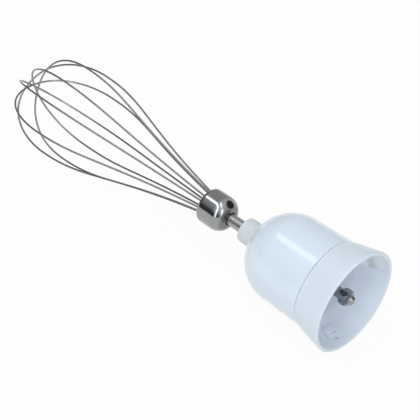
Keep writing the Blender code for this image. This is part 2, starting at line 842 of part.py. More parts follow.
def planet_pin(i, finish, parent):
    front = gear_front + face_gap / 2
    back = carrier_back + pin_seat_wall + face_gap
    profile = [
        (0, front),
        (pin_radius - small_edge, front),
        (pin_radius, front - small_edge),
        (pin_radius, back),
        (0, back),
    ]
    bm = turned_mesh(profile, small_segment_count, closed=False)
    bmesh.ops.translate(bm, verts=bm.verts, vec=(*polar(centre_distance, planet_angle(i)), 0))
    return place(f"planet_pin_{i + 1}", bm, finish, parent)


def planet_gear(i, finish, parent):
    """A planet turned so that its teeth stand in the gaps of the sun, on an empty at its own axis."""
    angle = planet_angle(i)
    pivot = empty(f"planet_axis_{i + 1}", parent, (*polar(centre_distance, angle), 0))
    first_tooth = angle + math.pi + (sun_teeth * angle - math.pi) / planet_teeth
    bore = pin_radius + planet_bore_play
    return external_gear(f"planet_gear_{i + 1}", planet_teeth, first_tooth, bore, finish, pivot)


def output_bush(finish, parent):
    bore = sleeve_radius + neck_bush_play
    outer = sleeve_radius + run_gap + neck_bush_wall
    flange_front = washer_station - face_gap
    flange_back = flange_front - neck_bush_plate
    flange_radius = outer + fit_gap + neck_bush_flange
    profile = [
        (bore, bush_top),
        (bore, flange_front),
        (flange_radius, flange_front),
        (flange_radius, flange_back),
        (outer, flange_back),
        (outer, bush_top),
    ]
    return turned("output_bush", profile[::-1], middle_segment_count, finish, parent)


def thrust_washer(finish, parent):
    outer = sleeve_radius + run_gap + neck_bush_wall + neck_bush_flange
    profile = [
        (sleeve_radius + fit_gap, washer_station),
        (outer, washer_station),
        (outer, washer_station + washer_thickness),
        (sleeve_radius + fit_gap, washer_station + washer_thickness),
    ]
    return turned("thrust_washer", profile, middle_segment_count, finish, parent)


def socket_spring(finish, parent):
    """Split wire ring in the sleeve's groove. It grips the whisk's shaft."""
    station = nose_station + socket_spring_setback
    radius = shaft_radius + fit_gap + socket_spring_wire
    curve = bpy.data.curves.new("socket_spring", "CURVE")
    curve.dimensions = "3D"
    curve.bevel_depth = socket_spring_wire
    curve.bevel_resolution = 1
    curve.use_fill_caps = True
    line = curve.splines.new("POLY")
    line.points.add(socket_spring_steps)
    for i, point in enumerate(line.points):
        share = i / socket_spring_steps
        angle = socket_spring_opening + 2 * (math.pi - socket_spring_opening) * share
        point.co = (*polar(radius, angle), station, 1)
    curve.materials.append(finish)
    made = bpy.data.objects.new("socket_spring", curve)
    made.parent = parent
    bpy.context.scene.collection.objects.link(made)
    return made


def whisk_shaft(finish, parent):
    socket_end = carrier_back - socket_end_wall
    end = socket_end - face_gap
    start = wire_station + holder_setback + shaft_setback
    profile = [
        (0, end),
        (shaft_radius - shaft_chamfer, end),
        (shaft_radius, end - shaft_chamfer),
        (shaft_radius, start + small_edge),
        (shaft_radius - small_edge, start),
        (0, start),
    ]
    shaft = turned("whisk_shaft", profile, small_segment_count, finish, parent, closed=False)
    cuts = []
    for half in range(2):
        middle = shaft_radius - shaft_flat / 2 + overcut / 2
        flat = box_mesh(
            (shaft_flat + overcut, 2 * shaft_radius, shaft_flat_length + overcut),
            at_angle(half * math.pi, middle, end - shaft_flat_length / 2 + overcut / 2),
        )
        cuts.append(place(f"shaft_flat_{half + 1}", flat, finish, parent))
    combine(shaft, cuts, "DIFFERENCE")
    return shaft


def ferrule(finish, parent):
    """Drawn steel cup: round shoulder with a dished hole at the shaft, open end turned in at the wires."""
    top = ferrule_station
    bottom = wire_station
    hole = shaft_radius + fit_gap
    shoulder_r = ferrule_radius - ferrule_shoulder
    shoulder_z = top - ferrule_shoulder
    edge_r = ferrule_radius - ferrule_edge
    edge_z = bottom + ferrule_edge
    dish = math.acos((ferrule_dish_radius - shoulder_r) / ferrule_shoulder)
    inner_shoulder = ferrule_shoulder - ferrule_wall
    inner_edge = ferrule_edge - ferrule_wall
    inner_turn = math.acos((hole + small_edge - shoulder_r) / inner_shoulder)
    profile = arc(edge_r, edge_z, ferrule_edge, -ferrule_turn_in, 0, 3)
    profile += arc(shoulder_r, shoulder_z, ferrule_shoulder, 0, dish, 6)
    lip = shoulder_z + ferrule_shoulder * math.sin(dish) - ferrule_dish_depth
    profile += [(ferrule_dish_radius - small_edge, lip), (hole, lip), (hole, lip - ferrule_wall)]
    profile += [
        point
        for point in arc(shoulder_r, shoulder_z, inner_shoulder, inner_turn, 0, 3)
        if point[1] < lip - ferrule_wall
    ]
    profile += arc(edge_r, edge_z, inner_edge, 0, -ferrule_turn_in, 2)
    return turned("ferrule", profile, large_segment_count, finish, parent)


def wire_holder(finish, parent):
    back = wire_station + holder_setback
    front = ferrule_station - ferrule_shoulder
    outer = ferrule_radius - ferrule_wall - fit_gap
    hole = shaft_radius + fit_gap
    edge = ferrule_edge - ferrule_wall
    profile = [
        (hole, back),
        (outer - edge, back),
        (outer, back + edge),
        (outer, front),
        (hole, front),
    ]
    holder = turned("wire_holder", profile, middle_segment_count, finish, parent)
    cuts = []
    for wire in range(2 * loop_count):
        where = polar(wire_circle, loop_angles[wire % loop_count] + wire // loop_count * math.pi)
        outline = circle(wire_radius + fit_gap, small_segment_count // 2, where)
        hole_mesh = prism_mesh(outline, back - overcut, back + wire_grip + face_gap)
        cuts.append(place(f"wire_hole_{wire + 1}", hole_mesh, finish, parent))
    combine(holder, cuts, "DIFFERENCE")
    return holder


def bezier(ends, pulls, steps):
    """Points of a cubic curve between two ends with two handles, the first end left out."""
    start, end = Vector(ends[0]), Vector(ends[1])
    first, second = start + Vector(pulls[0]), end + Vector(pulls[1])
    points = []
    for i in range(1, steps + 1):
        t = i / steps
        s = 1 - t
        points.append(s**3 * start + 3 * s * s * t * first + 3 * s * t * t * second + t**3 * end)
    return points


def half_loop(crown):
    """One half of a loop as (radius, station) points, from its end in the holder to its crown."""
    grip_end = wire_station + holder_setback + wire_grip
    leave = (wire_circle, wire_station - wire_drop)
    widest = (balloon_radius, wire_station - balloon_widest)
    out = (lower_pull * math.sin(wire_splay), -lower_pull * math.cos(wire_splay))
    points = [Vector((wire_circle, grip_end)), Vector(leave)]
    points += bezier((leave, widest), (out, (0, waist_pull)), loop_step_count)
    points += bezier((widest, (0, crown)), ((0, -upper_pull), (crown_pull, 0)), loop_step_count)
    return points


def wire_loop(i, finish, parent):
    """A spring-steel wire bent into a long loop in its own plane through the axis."""
    angle = loop_angles[i]
    crown = wire_station - balloon_length + wire_radius + crown_steps[i]
    half = half_loop(crown)
    flat = [(r, z) for r, z in half] + [(-r, z) for r, z in reversed(half[:-1])]
    curve = bpy.data.curves.new(f"wire_loop_{i + 1}", "CURVE")
    curve.dimensions = "3D"
    curve.bevel_depth = wire_radius
    curve.bevel_resolution = wire_bevel_count
    curve.use_fill_caps = True
    line = curve.splines.new("POLY")
    line.points.add(len(flat) - 1)
    for point, (r, z) in zip(line.points, flat):
        point.co = (*polar(r, angle), z, 1)
    line.use_smooth = True
    curve.materials.append(finish)
    made = bpy.data.objects.new(f"wire_loop_{i + 1}", curve)
    made.parent = parent
    bpy.context.scene.collection.objects.link(made)
    return made


def rest_tilt():
    """Angle that lets both the mouth rim and the two lowest wires touch the floor."""
    wires = balloon_radius * math.cos(lowest_loop_angle) + wire_radius
    apart = -wire_station + balloon_widest - rim_round
    return math.asin((mouth_radius - wires) / apart)


def bounds(nodes):
    """Lowest and highest world corner of the nodes as they are shown."""
    graph = bpy.context.evaluated_depsgraph_get()
    low = Vector((math.inf,) * 3)
    high = Vector((-math.inf,) * 3)
    for node in nodes:
        shown = node.evaluated_get(graph)
        mesh = shown.to_mesh()
        for vertex in mesh.vertices:
            point = shown.matrix_world @ vertex.co
            low = Vector(map(min, low, point))
            high = Vector(map(max, high, point))
        shown.to_mesh_clear()
    return low, high


def build():
    for item in list(bpy.data.objects):
        bpy.data.objects.remove(item)

    white = material("white_abs", (0.63, 0.72, 0.82), 0.22)
    satin = material("satin_white_abs", (0.64, 0.73, 0.81), 0.38)
    natural = material("natural_pom", (0.60, 0.66, 0.70), 0.45)
    steel = material("drawn_steel", (0.45, 0.46, 0.47), 0.18, 1.0)
    wire_steel = material("spring_steel", (0.36, 0.36, 0.37), 0.25, 1.0)
    dark_steel = material("turned_steel", (0.30, 0.32, 0.34), 0.3, 1.0)
    bronze = material("sintered_bronze", (0.42, 0.27, 0.14), 0.5, 1.0)
    rubber = material("black_rubber", (0.02, 0.02, 0.02), 0.7)
    nylon = material("nylon", (0.72, 0.70, 0.62), 0.5)

    assembly = empty("attachment", None)
    assembly.rotation_euler = (0, math.pi / 2 + rest_tilt(), 0)
    drive_axis = empty("drive_axis", assembly)
    output_axis = empty("output_axis", assembly)
    whisk_slide = empty("whisk_slide", output_axis)

    nodes = [
        gear_housing(white, assembly),
        coupling_collar(satin, assembly),
        ring_gear(nylon, assembly),
        gear_cover(nylon, assembly),
        spindle_bush(bronze, assembly),
        spindle_seal(rubber, assembly),
        output_bush(nylon, assembly),
        drive_spindle(dark_steel, drive_axis),
        spindle_clip(steel, drive_axis),
        external_gear("sun_pinion", sun_teeth, 0, journal_radius + fit_gap / 2, dark_steel, drive_axis),
        planet_carrier(natural, output_axis),
        thrust_washer(steel, assembly),
        socket_spring(steel, output_axis),
        whisk_shaft(steel, whisk_slide),
        ferrule(steel, whisk_slide),
        wire_holder(nylon, whisk_slide),
    ]
    for i in range(planet_count):
        nodes.append(cover_screw(i, steel, assembly))
        nodes.append(planet_pin(i, steel, output_axis))
        nodes.append(planet_gear(i, nylon, output_axis))
    for i in range(loop_count):
        nodes.append(wire_loop(i, wire_steel, whisk_slide))

    bpy.context.view_layer.update()
    low, high = bounds(nodes)
    assembly.location = (-(low.x + high.x) / 2, -(low.y + high.y) / 2, -low.z)
    bpy.context.view_layer.update()


build()
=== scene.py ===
import json
import math

import bmesh
import bpy
from mathutils import Matrix, Vector


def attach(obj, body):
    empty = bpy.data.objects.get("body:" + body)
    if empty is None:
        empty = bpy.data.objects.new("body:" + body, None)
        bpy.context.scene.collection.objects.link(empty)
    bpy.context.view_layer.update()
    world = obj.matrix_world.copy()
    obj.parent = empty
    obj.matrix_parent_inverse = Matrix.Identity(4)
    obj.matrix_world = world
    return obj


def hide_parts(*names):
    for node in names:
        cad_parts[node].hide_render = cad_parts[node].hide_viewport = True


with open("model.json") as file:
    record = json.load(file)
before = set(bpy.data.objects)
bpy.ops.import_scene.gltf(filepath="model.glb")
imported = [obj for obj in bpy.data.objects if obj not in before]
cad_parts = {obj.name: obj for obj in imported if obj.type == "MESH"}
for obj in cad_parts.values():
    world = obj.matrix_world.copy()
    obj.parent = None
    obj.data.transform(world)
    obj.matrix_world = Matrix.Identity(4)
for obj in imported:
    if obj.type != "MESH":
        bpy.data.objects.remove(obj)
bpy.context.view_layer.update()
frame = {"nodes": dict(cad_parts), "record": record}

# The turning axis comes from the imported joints. Along it, 0 is the plane of the mouth and
# the whisk lies at negative stations. All sizes below are in millimetres.
outputSpin = next(j for j in frame["record"]["behaviour"]["joints"] if j["name"] == "output_spin")
axisDirection = Vector(outputSpin["axis"]).normalized()
acrossDirection = Vector((0, 1, 0))
downDirection = acrossDirection.cross(axisDirection)
placing = Matrix.Identity(4)
for column, direction in enumerate((downDirection, acrossDirection, axisDirection)):
    for row in range(3):
        placing[row][column] = direction[row]
placing.translation = Vector(outputSpin["pos_m"])
placing = placing @ Matrix.Scale(0.001, 4)


# Shader maths

class Value:
    def __init__(self, finish, socket):
        self.finish = finish
        self.socket = socket

    def join(self, operation, first, second, clamp=False):
        settings = {"operation": operation, "use_clamp": clamp}
        return self.finish.node("ShaderNodeMath", settings, {0: first, 1: second})

    def __add__(self, other):
        return self.join("ADD", self, other)

    def __radd__(self, other):
        return self.join("ADD", other, self)

    def __sub__(self, other):
        return self.join("SUBTRACT", self, other)

    def __rsub__(self, other):
        return self.join("SUBTRACT", other, self)

    def __mul__(self, other):
        return self.join("MULTIPLY", self, other)

    def __rmul__(self, other):
        return self.join("MULTIPLY", other, self)

    def __truediv__(self, other):
        return self.join("DIVIDE", self, other)

    def clamped(self):
        return self.join("ADD", self, 0.0, clamp=True)


class Finish:
    def __init__(self, name, tree=None):
        if tree is None:
            self.material = bpy.data.materials.new(name)
            self.material.use_nodes = True
            tree = self.material.node_tree
            self.shader = tree.nodes["Principled BSDF"]
        self.tree = tree

    def node(self, kind, settings, inputs, output=0):
        made = self.tree.nodes.new(kind)
        for name, value in settings.items():
            setattr(made, name, value)
        for name, value in inputs.items():
            if isinstance(value, Value):
                self.tree.links.new(value.socket, made.inputs[name])
            else:
                made.inputs[name].default_value = value
        return Value(self, made.outputs[output])

    def place(self):
        return self.node("ShaderNodeTexCoord", {}, {}, "Object")

    def noise(self, vector, scale, detail=2.0, dimensions="3D"):
        inputs = {"Vector": vector, "Scale": scale, "Detail": detail}
        if dimensions == "1D":
            inputs["W"] = inputs.pop("Vector")
        return self.node("ShaderNodeTexNoise", {"noise_dimensions": dimensions}, inputs)

    def vectorMath(self, operation, inputs, output=0):
        return self.node("ShaderNodeVectorMath", {"operation": operation}, inputs, output)

    def along(self, vector, direction):
        return self.vectorMath("DOT_PRODUCT", {0: vector, 1: direction}, "Value")

    def radius(self, vector):
        # Distance from the turning axis in millimetres.
        offset = self.vectorMath("SUBTRACT", {0: vector, 1: tuple(placing.translation)})
        moment = self.vectorMath("CROSS_PRODUCT", {0: offset, 1: tuple(axisDirection)})
        return self.vectorMath("LENGTH", {0: moment}, "Value") * 1000.0

    def stretched(self, vector, scale):
        turned = placing.to_3x3().normalized().to_euler()
        return self.node(
            "ShaderNodeMapping", {"vector_type": "TEXTURE"},
            {"Vector": vector, "Rotation": turned, "Scale": scale})

    def blend(self, factor, first, second):
        # Sockets 6 and 7 are the Mix node's two colours, and output 2 is its colour result.
        first, second = (c if isinstance(c, Value) else (*c, 1) for c in (first, second))
        return self.node("ShaderNodeMix", {"data_type": "RGBA"}, {"Factor": factor, 6: first, 7: second}, 2)

    def bump(self, height, distance):
        return self.node("ShaderNodeBump", {}, {"Height": height, "Distance": distance})

    def feed(self, **values):
        for name, value in values.items():
            socket = self.shader.inputs[name.replace("_", " ")]
            if isinstance(value, Value):
                self.tree.links.new(value.socket, socket)
            else:
                socket.default_value = value


def linear(red, green, blue):
    # Screen levels from 0 to 255 as the linear colour that the shaders take.
    return tuple(v / 12.92 if v <= 0.04045 else ((v + 0.055) / 1.055) ** 2.4
                 for v in (red / 255, green / 255, blue / 255))


# Finishes

plasticLook = {
    "bellColour": linear(213, 226, 238), "bellShade": linear(207, 221, 234),
    "collarColour": linear(213, 225, 235), "collarShade": linear(206, 219, 231),
    "noseColour": linear(211, 219, 223), "noseShade": linear(199, 207, 212),
    # Painted shade: a darker, bluer plastic for the walls of the keyway pockets.
    "pocketPaintedShadeColour": linear(196, 207, 227), "pocketPaintedShadeMottle": linear(190, 201, 221),
    # Painted light: a paler colour painted into the deep part of the mouth, from one radius to the next.
    "paintedThroughLight": linear(232, 240, 253), "paintedLightStart": 25.2, "paintedLightFull": 21.0,
    "cloudSize": 60.0, "peelSize": 900.0, "peelHeight": 0.000012, "milkiness": 0.3, "milkDepth": 0.0015,
    "scuffSize": (0.004, 0.004, 0.03), "scuffStart": 0.56, "scuffContrast": 6.0,
    "cloudDulling": 0.05, "scuffDulling": 0.06, "grainDulling": 0.02,
    "coatRoughness": 0.06, "refraction": 1.5,
}


def mouldedPlastic(name, colour, shade, roughness, coat, peel=1.0, paintedInnerLight=False):
    look = plasticLook
    finish = Finish(name)
    place = finish.place()
    cloud = finish.noise(place, look["cloudSize"], detail=3.0)
    grain = finish.noise(place, look["peelSize"])
    scuff = finish.noise(finish.stretched(place, look["scuffSize"]), 1.0, detail=4.0)
    marks = ((scuff - look["scuffStart"]) * look["scuffContrast"]).clamped()
    dulling = cloud * look["cloudDulling"] + marks * look["scuffDulling"] + grain * look["grainDulling"]
    surface = finish.blend(cloud, shade, colour)
    if paintedInnerLight:
        # Painted light: the deep part of the mouth is painted paler, standing in for daylight that comes
        # through its wall.
        change = look["paintedLightStart"] - look["paintedLightFull"]
        depth = (look["paintedLightStart"] - finish.radius(place)) / change
        surface = finish.blend(depth.clamped(), surface, look["paintedThroughLight"])
    finish.feed(
        Base_Color=surface,
        Roughness=roughness + dulling,
        Coat_Weight=coat,
        Coat_Roughness=look["coatRoughness"],
        IOR=look["refraction"],
        Subsurface_Weight=look["milkiness"],
        Subsurface_Radius=(1.0, 1.0, 1.0),
        Subsurface_Scale=look["milkDepth"],
        Normal=finish.bump(grain, look["peelHeight"] * peel),
    )
    return finish.material


metalLook = {
    "cloudSize": 160.0, "cloudDulling": 0.06, "ringContrast": 1.6, "ringShare": 0.6,
    # Painted shade: a dark ring round the ferrule's hole, with its radius, fade and colour.
    "paintedShadeRadius": 8.2, "paintedShadeFade": 1.6, "paintedShadeColour": (0.215, 0.205, 0.195),
    "wireCloudSize": 90.0, "wireCloudDulling": 0.05, "wireCloudHeight": 0.0001,
}


def turnedMetal(name, colour, shade, roughness, ringSize, ringHeight, ringDulling=0.12, paintsHoleShade=False):
    look = metalLook
    finish = Finish(name)
    place = finish.place()
    station = finish.along(place, tuple(axisDirection))
    rings = finish.noise(station, ringSize, detail=3.0, dimensions="1D")
    cloud = finish.noise(place, look["cloudSize"], detail=3.0)
    worn = ((rings - 0.5) * look["ringContrast"] + 0.5).clamped()
    surface = finish.blend(worn * look["ringShare"] + cloud * (1 - look["ringShare"]), shade, colour)
    if paintsHoleShade:
        # Painted shade: a dark ring round the hole darkens the dish where it would mirror the bell.
        paintedHoleShade = (look["paintedShadeRadius"] - finish.radius(place)) / look["paintedShadeFade"] + cloud - 0.5
        surface = finish.blend(paintedHoleShade.clamped(), surface, look["paintedShadeColour"])
    finish.feed(
        Base_Color=surface,
        Metallic=1.0,
        Roughness=roughness + rings * ringDulling + cloud * look["cloudDulling"],
        Normal=finish.bump(rings, ringHeight),
    )
    return finish.material


def drawnWire(name, colour, shade, roughness):
    finish = Finish(name)
    place = finish.place()
    cloud = finish.noise(place, metalLook["wireCloudSize"])
    finish.feed(
        Base_Color=finish.blend(cloud, shade, colour),
        Metallic=1.0,
        Roughness=roughness + cloud * metalLook["wireCloudDulling"],
        Normal=finish.bump(cloud, metalLook["wireCloudHeight"]),
    )
    return finish.material


def plainMoulding(name, colour, shade, roughness, grainSize, grainHeight, metallic=0.0, dulling=0.1):
    finish = Finish(name)
    place = finish.place()
    grain = finish.noise(place, grainSize, detail=4.0)
    finish.feed(
        Base_Color=finish.blend(grain, shade, colour),
        Metallic=metallic,
        Roughness=roughness + grain * dulling,
        Normal=finish.bump(grain, grainHeight),
    )
    return finish.material


look = plasticLook
bellPlastic = mouldedPlastic(
    "bellPlastic", look["bellColour"], look["bellShade"], roughness=0.16, coat=0.25)
# The collar's inner face gets painted light deep in its mouth.
collarPlastic = mouldedPlastic(
    "collarPlastic", look["collarColour"], look["collarShade"], roughness=0.30, coat=0.1, paintedInnerLight=True)
# The keyway pockets' plastic is darker, as painted shade.
paintedShadePocketPlastic = mouldedPlastic(
    "paintedShadePocketPlastic", look["pocketPaintedShadeColour"], look["pocketPaintedShadeMottle"], roughness=0.35, coat=0.0)
nosePlastic = mouldedPlastic(
    "nosePlastic", look["noseColour"], look["noseShade"], roughness=0.46, coat=0.0, peel=2.0)
# The ferrule is painted darker round its hole, as shade.
ferruleSteel = turnedMetal(
    "ferruleSteel", (0.36, 0.37, 0.38), (0.31, 0.32, 0.33), roughness=0.09,
    ringSize=2600.0, ringHeight=0.0000015, ringDulling=0.05, paintsHoleShade=True)
shaftSteel = turnedMetal(
    "shaftSteel", (0.44, 0.45, 0.44), (0.38, 0.38, 0.38), roughness=0.30,
    ringSize=3200.0, ringHeight=0.000004)
spindleSteel = turnedMetal(
    "spindleSteel", (0.38, 0.39, 0.40), (0.28, 0.29, 0.30), roughness=0.12,
    ringSize=2400.0, ringHeight=0.000003)
# Painted shade: nearly black steel for the walls of the spindle's dents.
dentPaintedShadeSteel = turnedMetal(
    "dentPaintedShadeSteel", (0.10, 0.105, 0.11), (0.06, 0.06, 0.065), roughness=0.30,
    ringSize=2400.0, ringHeight=0.000003)
wireSteel = drawnWire("wireSteel", (0.33, 0.33, 0.34), (0.26, 0.26, 0.27), roughness=0.18)
gearNylon = plainMoulding(
    "gearNylon", (0.66, 0.62, 0.52), (0.58, 0.54, 0.45), roughness=0.42,
    grainSize=700.0, grainHeight=0.00001)
bushBronze = plainMoulding(
    "bushBronze", (0.45, 0.28, 0.14), (0.30, 0.18, 0.09), roughness=0.45,
    grainSize=2600.0, grainHeight=0.00002, metallic=1.0)
sealRubber = plainMoulding(
    "sealRubber", (0.020, 0.020, 0.021), (0.012, 0.012, 0.012), roughness=0.58,
    grainSize=900.0, grainHeight=0.00002)
print("finishes are ready")


# Modelling helpers

def rounded(corners, closed=False, fineness=6.0):
    # Each corner is (radius, station) or (radius, station, fillet), and comes back as its arc's points.
    points = []
    count = len(corners)
    for i, corner in enumerate(corners):
        here = Vector(corner[:2])
        fillet = corner[2] if len(corner) > 2 else 0
        if not fillet:
            points.append(here)
            continue
        before = Vector(corners[(i - 1) % count][:2]) - here
        after = Vector(corners[(i + 1) % count][:2]) - here
        bend = before.angle(after)
        reach = fillet / math.tan(bend / 2)
        inwards = (before.normalized() + after.normalized()).normalized()
        middle = here + inwards * fillet / math.sin(bend / 2)
        first = here + before.normalized() * reach - middle
        last = here + after.normalized() * reach - middle
        turn = first.angle_signed(last)
        steps = max(2, int(abs(math.degrees(turn)) / fineness))
        for step in range(steps + 1):
            angle = -turn * step / steps
            points.append(middle + Vector((
                first.x * math.cos(angle) - first.y * math.sin(angle),
                first.x * math.sin(angle) + first.y * math.cos(angle))))
    return points


def arcPoints(centre, radius, start, end, steps, height=None):
    tall = radius if height is None else height
    turns = [math.radians(start + (end - start) * i / steps) for i in range(steps + 1)]
    return [(centre[0] + radius * math.cos(a), centre[1] + tall * math.sin(a)) for a in turns]


def spun(points, segments, closed=True):
    bm = bmesh.new()
    verts = [bm.verts.new((p[0], 0, p[1])) for p in points]
    pairs = list(zip(verts, verts[1:])) + ([(verts[-1], verts[0])] if closed else [])
    edges = [bm.edges.new(pair) for pair in pairs]
    bmesh.ops.spin(
        bm, geom=verts + edges, cent=(0, 0, 0), axis=(0, 0, 1),
        angle=2 * math.pi, steps=segments, use_merge=True)
    return bm


def block(size, place):
    bm = bmesh.new()
    bmesh.ops.create_cube(bm, size=1, matrix=Matrix.Diagonal((*size, 1)))
    bmesh.ops.transform(bm, matrix=place, verts=bm.verts)
    return bm


def bevelled(bm, edges, offset, segments=3):
    bmesh.ops.bevel(
        bm, geom=edges, offset=offset, segments=segments, profile=0.5, affect="EDGES", material=-1)
    return bm


def putInOrder(bm):
    # Merging leaves the parts of a mesh in another order each run, and a Boolean's result depends on it.
    for number, vert in enumerate(sorted(bm.verts, key=lambda v: v.co[:])):
        vert.index = number
    bm.verts.sort()
    bm.verts.index_update()
    for parts in (bm.edges, bm.faces):
        for number, part in enumerate(sorted(parts, key=lambda p: sorted(v.index for v in p.verts))):
            part.index = number
        parts.sort()
        parts.index_update()


sharpAngle = 30  # an edge that turns by more than this many degrees stays crisp


def finished(name, bm, material, sharp=sharpAngle):
    bmesh.ops.remove_doubles(bm, verts=bm.verts, dist=1e-4)
    bmesh.ops.recalc_face_normals(bm, faces=bm.faces)
    putInOrder(bm)
    bmesh.ops.transform(bm, matrix=placing, verts=bm.verts)
    mesh = bpy.data.meshes.new(name)
    bm.to_mesh(mesh)
    bm.free()
    mesh.shade_smooth()
    mesh.set_sharp_from_angle(angle=math.radians(sharp))
    mesh.materials.append(material)
    made = bpy.data.objects.new(name, mesh)
    bpy.context.scene.collection.objects.link(made)
    return made


def carve(piece, tools, operation="DIFFERENCE"):
    # The cut faces keep the finish of the tool that made them.
    for tool in tools:
        step = piece.modifiers.new("carve", "BOOLEAN")
        step.operation = operation
        step.solver = "EXACT"
        step.material_mode = "TRANSFER"
        step.object = tool
    graph = bpy.context.evaluated_depsgraph_get()
    mesh = bpy.data.meshes.new_from_object(piece.evaluated_get(graph))
    piece.modifiers.clear()
    piece.data = mesh
    mesh.shade_smooth()
    mesh.set_sharp_from_angle(angle=math.radians(sharpAngle))
    for tool in tools:
        bpy.data.objects.remove(tool)
    return piece


def standing(angle, radius=0.0, station=0.0):
    # Frame at an angle round the axis, its X pointing outwards and its Z along the axis.
    return Matrix.Rotation(math.radians(angle), 4, "Z") @ Matrix.Translation((radius, 0, station))


def settle(piece, body, slotName, *nodes):
    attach(piece, body)
    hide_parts(*nodes)
    return piece


# Bell

bell = {
    "radius": 23.8, "seamRadius": 24.25, "seam": -17.65, "domeCentre": -41.75, "domeHeight": 22.4,
    "wall": 1.65, "neckHole": 7.3, "seamEdge": 0.35, "neckEdge": 0.5, "neckFillet": 0.3,
    "neckStep": 0.1, "neckWall": 3.5, "neckLength": 10.0,
    "domeSteps": 40, "innerSteps": 16, "round": 160,
}


def makeBell():
    b = bell
    centre = (0, b["domeCentre"])
    holeTurn = -math.degrees(math.acos((b["neckHole"] + b["neckEdge"]) / b["radius"]))
    innerRadius = b["radius"] - b["wall"]
    innerTurn = -math.degrees(math.acos((b["neckHole"] + b["neckWall"]) / innerRadius))
    outside = rounded([
        (b["seamRadius"] - b["wall"], b["seam"]),
        (b["seamRadius"], b["seam"], b["seamEdge"]),
        (b["radius"], b["domeCentre"]),
    ])
    outside += arcPoints(centre, b["radius"], 0, holeTurn, b["domeSteps"], b["domeHeight"])[1:]
    lastStation = outside[-1][1]
    neckEnd = lastStation + b["neckLength"]
    outside += rounded([
        outside[-1],
        (b["neckHole"], lastStation - b["neckStep"], b["neckFillet"]),
        (b["neckHole"], neckEnd),
    ])[1:]
    outside += [(b["neckHole"] + b["neckWall"], neckEnd)]
    outside += arcPoints(
        centre, innerRadius, innerTurn, 0, b["innerSteps"], b["domeHeight"] - b["wall"])
    piece = finished("bell", spun(outside, b["round"]), bellPlastic)
    return settle(piece, "gearbox", "white_abs", "gear_housing")


makeBell()
print("bell is ready")


# Collar with the open mouth

collar = {
    "seam": -17.3, "seamRadius": 24.45, "mouthRadius": 28.3, "rimWall": 1.95, "lipRound": 0.75,
    "spigotRadius": 22.3, "spigotTaper": 0.4,
    "bore": 20.8, "boreTaper": 0.5, "boreStep": 0.1, "boreRise": 1.0,
    "floor": -30.17, "floorThickness": 1.6, "bossHole": 7.0,
    "seamEdge": 0.25, "boreFillet": 6.0, "floorFillet": 1.4, "bossEdge": 0.3,
    "keyway": {"angle": 118, "start": -1.3, "length": 8.4, "cut": 0.85, "shift": 10.0, "round": 120},
    "catch": {"angle": -7.5, "width": 10.0, "length": 5.8, "height": 1.1, "depth": 8.8,
              "corner": 2.2, "edge": 0.3,
              "slotWidth": 3.4, "slotLength": 0.9, "slotShift": 1.5, "slotDepth": 0.7,
              "dimpleRadius": 0.9, "dimpleDepth": 4.4, "dimpleCut": 1.6, "dimpleRound": 24},
    "mark": {"angle": 169, "setback": 4.2, "radius": 1.3, "height": 0.3, "root": 0.6, "edge": 0.22,
             "round": 48},
    "round": 160,
}


def mouthWall(station):
    top = collar["mouthRadius"] - collar["rimWall"]
    return top + (collar["bore"] - top) * station / collar["seam"]


def onMouthWall(angle, depth):
    slope = math.atan((mouthWall(0) - mouthWall(collar["seam"])) / -collar["seam"])
    return standing(angle, mouthWall(-depth), -depth) @ Matrix.Rotation(slope, 4, "Y")


def catchPad(angle):
    k = collar["catch"]
    pad = block((2 * k["height"], k["width"], k["length"]), Matrix.Identity(4))
    corners = [e for e in pad.edges
               if all(v.co.z < 0 for v in e.verts) and abs(e.verts[0].co.x - e.verts[1].co.x) > k["height"]]
    bevelled(pad, corners, k["corner"], 5)
    face = [e for e in pad.edges if all(v.co.x < 0 for v in e.verts)]
    bevelled(pad, face, k["edge"], 2)
    bmesh.ops.transform(pad, matrix=onMouthWall(angle, k["depth"]), verts=pad.verts)
    return finished("pad", pad, collarPlastic)


def catchCuts(angle):
    k = collar["catch"]
    slotPlace = onMouthWall(angle, k["depth"] - k["slotShift"]) @ Matrix.Translation((-k["height"], 0, 0))
    slot = block((2 * k["slotDepth"], k["slotWidth"], k["slotLength"]), slotPlace)
    dimple = bmesh.new()
    dimplePlace = onMouthWall(angle, k["dimpleDepth"]) @ Matrix.Rotation(math.pi / 2, 4, "Y")
    bmesh.ops.create_cone(
        dimple, cap_ends=True, segments=k["dimpleRound"],
        radius1=k["dimpleRadius"], radius2=k["dimpleRadius"], depth=k["dimpleCut"], matrix=dimplePlace)
    return [finished("slot", slot, collarPlastic), finished("dimple", dimple, collarPlastic)]


def keywayCut(angle):
    # A crescent: the cutter is turned round an axis that stands nearer to the wall, so its ends run out.
    k = collar["keyway"]
    top, bottom = k["start"], k["start"] - k["length"]
    bm = spun([
        (mouthWall(top) + k["cut"] - k["shift"], top),
        (mouthWall(bottom) + k["cut"] - k["shift"], bottom),
        (0, bottom),
        (0, top),
    ][::-1], k["round"], closed=False)
    bmesh.ops.transform(bm, matrix=standing(angle, k["shift"]), verts=bm.verts)
    # Its cut faces take the darker pocket plastic, which is painted shade.
    return finished("keyway", bm, paintedShadePocketPlastic)


def roundMark():
    m = collar["mark"]
    cone = math.atan((collar["mouthRadius"] - collar["seamRadius"]) / -collar["seam"])
    profile = rounded([
        (0, m["height"]),
        (m["radius"], m["height"], m["edge"]),
        (m["radius"], -m["root"]),
        (0, -m["root"]),
    ])
    bm = spun(profile, m["round"], closed=False)
    outwards = Matrix.Rotation(cone + math.pi / 2, 4, "Y")
    place = standing(m["angle"], collar["mouthRadius"] - m["setback"] * math.tan(cone), -m["setback"])
    bmesh.ops.transform(bm, matrix=place @ outwards, verts=bm.verts)
    return finished("mark", bm, collarPlastic)


